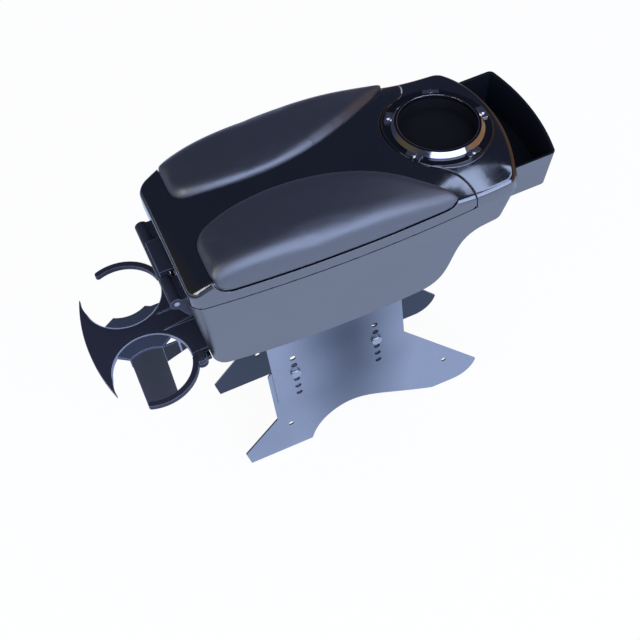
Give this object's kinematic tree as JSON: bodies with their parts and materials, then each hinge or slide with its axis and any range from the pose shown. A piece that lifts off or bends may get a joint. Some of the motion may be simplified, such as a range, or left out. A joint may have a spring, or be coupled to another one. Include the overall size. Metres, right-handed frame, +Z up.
{
  "type": "car centre armrest",
  "caption": "Car centre armrest: storage box with padded hinged lid, sliding drawer, round tray with bright bezel, end cup holder with pivoting arms, bolted sheet-steel foot.",
  "frame": {"origin": "centre of the bounding box in plan, on the floor under the feet", "axes": "+X from the cup holder to the drawer, +Y across the box to the far side in the picture, +Z up"},
  "size_m": [0.491, 0.1898, 0.3796],
  "materials": {
    "satin_black": "satin moulded",
    "drawer_black": "satin moulded",
    "tray_black": "matte",
    "gloss_black": "polished",
    "pad_cover": "fine grained",
    "bright_trim": "bright plated",
    "sheet_steel": "smooth rolled sheet",
    "zinc_steel": "zinc plated"
  },
  "bodies": {
    "base": {"arm_pins": "zinc_steel", "bezel_screws": "bright_trim", "bracket_far": "sheet_steel", "bracket_near": "sheet_steel", "cup_holder": "satin_black", "cup_holder_screws": "zinc_steel", "floor_nuts": "zinc_steel", "floor_screws": "zinc_steel", "hinge_base": "satin_black", "hinge_pin": "zinc_steel", "hinge_screws": "zinc_steel", "leg_nuts": "zinc_steel", "leg_plate_far": "sheet_steel", "leg_plate_near": "sheet_steel", "leg_screws": "zinc_steel", "round_tray": "tray_black", "storage_box": "satin_black", "top_cover": "gloss_black", "tray_bezel": "bright_trim"},
    "lid": {"lid_shell": "gloss_black", "lid_liner": "satin_black", "pad_near": "pad_cover", "pad_far": "pad_cover", "lid_hinge_leaf": "satin_black", "leaf_screws": "zinc_steel"},
    "drawer": {"drawer": "drawer_black"},
    "cup_arm_near": {"cup_arm_near": "satin_black"},
    "cup_arm_far": {"cup_arm_far": "satin_black"}
  },
  "joints": [
    {"name": "lid_hinge", "type": "hinge", "parent": "base", "child": "lid", "pos_m": [-0.1525, 0, 0.316], "axis": [0, -1, 0], "range_deg": [0, 95]},
    {"name": "drawer_slide", "type": "slide", "parent": "base", "child": "drawer", "axis": [1, 0, 0], "range_m": [-0.04, 0.025]},
    {"name": "arm_near_pivot", "type": "hinge", "parent": "base", "child": "cup_arm_near", "pos_m": [-0.1465, -0.0585, 0.231], "axis": [0, 0, -1], "range_deg": [-8, 22]},
    {"name": "arm_far_pivot", "type": "hinge", "parent": "base", "child": "cup_arm_far", "pos_m": [-0.1465, 0.0585, 0.231], "axis": [0, 0, 1], "range_deg": [-8, 22]}
  ]
}
